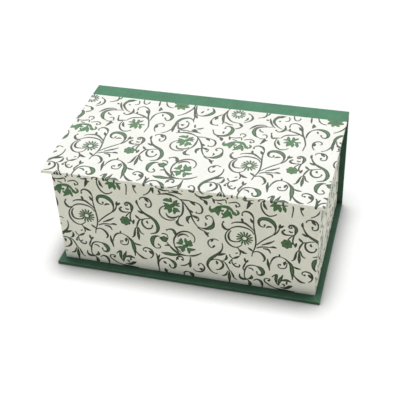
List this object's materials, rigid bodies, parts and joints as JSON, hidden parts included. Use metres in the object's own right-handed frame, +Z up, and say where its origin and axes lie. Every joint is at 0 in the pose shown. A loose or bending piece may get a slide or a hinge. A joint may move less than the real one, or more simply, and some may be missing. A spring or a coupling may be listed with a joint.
{
  "type": "hinged box",
  "caption": "Oblong cloth-and-paper keepsake box: a lined tray glued into a board case whose lid hangs on a cloth joint and overhangs the tray in front and at both ends.",
  "frame": {"origin": "middle of the underside of the closed box", "axes": "+X along the length, to the right as seen from the front; +Y from the front to the hinge at the back; +Z up"},
  "size_m": [0.2, 0.117, 0.089],
  "materials": {
    "grey_board": "matte",
    "green_cloth": "matte",
    "printed_paper": "matte",
    "lining_paper": "matte"
  },
  "bodies": {
    "case": {"base_board": "grey_board", "spine_board": "grey_board", "tray_front_wall": "grey_board", "tray_back_wall": "grey_board", "tray_left_wall": "grey_board", "tray_right_wall": "grey_board", "tray_floor": "grey_board", "base_cloth": "green_cloth", "spine_cloth": "green_cloth", "inner_hinge_spine": "green_cloth", "tray_paper": "printed_paper", "wall_lining": "lining_paper", "floor_lining": "lining_paper"},
    "hinge_strip": {"hinge_cloth": "green_cloth", "inner_hinge_bend": "green_cloth"},
    "lid": {"lid_board": "grey_board", "lid_cloth": "green_cloth", "lid_paper": "printed_paper", "lid_lining": "lining_paper", "inner_hinge_lid": "green_cloth"}
  },
  "joints": [
    {"name": "spine_crease", "type": "hinge", "parent": "case", "child": "hinge_strip", "pos_m": [0, 0.0585, 0.0832], "axis": [-1, 0, 0], "range_deg": [0, 111]},
    {"name": "lid_crease", "type": "hinge", "parent": "hinge_strip", "child": "lid", "pos_m": [0, 0.0585, 0.0862], "axis": [-1, 0, 0], "range_deg": [0, 111]}
  ],
  "couplings": [
    {"joint": "lid_crease", "follows": "spine_crease", "ratio": 1}
  ]
}
